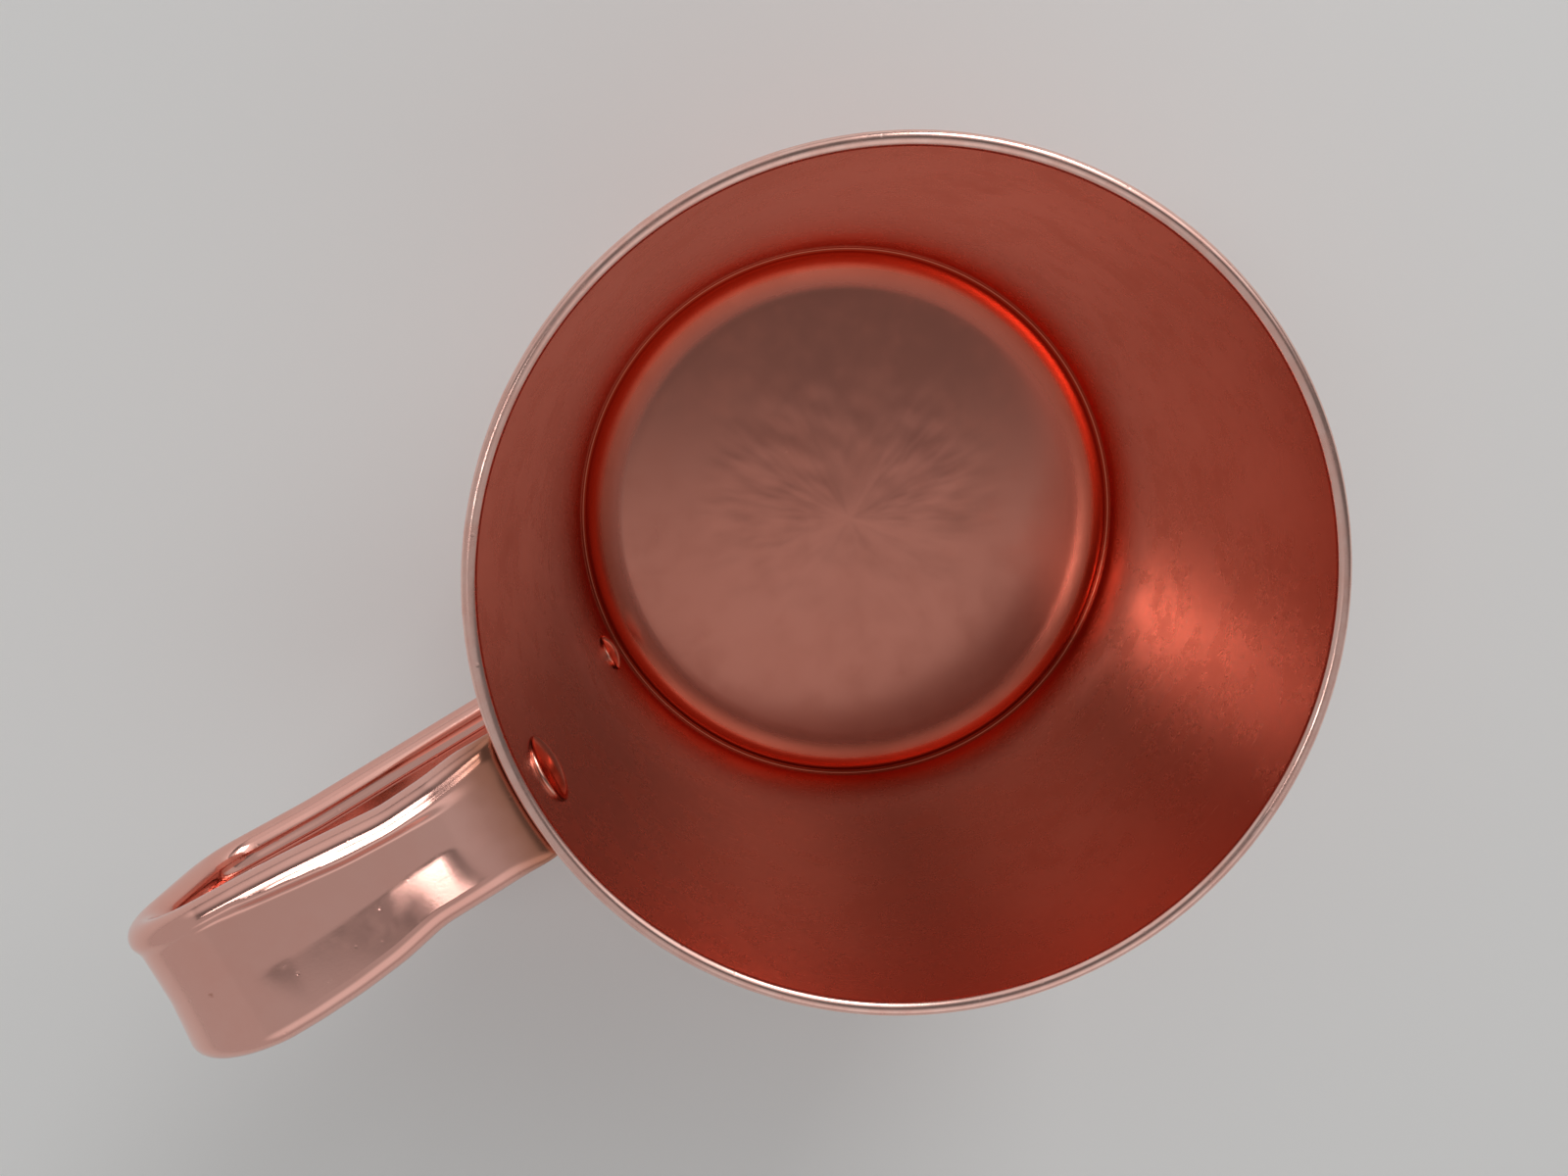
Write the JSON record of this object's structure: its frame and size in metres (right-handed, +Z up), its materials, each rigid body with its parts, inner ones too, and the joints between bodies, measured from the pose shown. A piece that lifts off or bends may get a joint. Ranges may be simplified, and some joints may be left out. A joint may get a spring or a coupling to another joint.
{
  "type": "mug",
  "caption": "Tapered copper drinking mug with a beaded rim, a foot ring, a raised bottom panel and a riveted strap handle with rolled edges.",
  "frame": {"origin": "centre of the foot ring, on the plane the mug stands on", "axes": "+Z up along the mug's axis to the mouth, +X from the axis towards the handle"},
  "size_m": [0.1284, 0.084, 0.065],
  "materials": {
    "cup_copper": "polished copper outside, satin red copper inside",
    "handle_copper": "bright rose copper with a fine hazy grain",
    "rivet_copper": "bright copper"
  },
  "bodies": {
    "root": {"cup": "cup_copper", "handle": "handle_copper", "upper_rivet": "rivet_copper", "lower_rivet": "rivet_copper"}
  },
  "joints": []
}
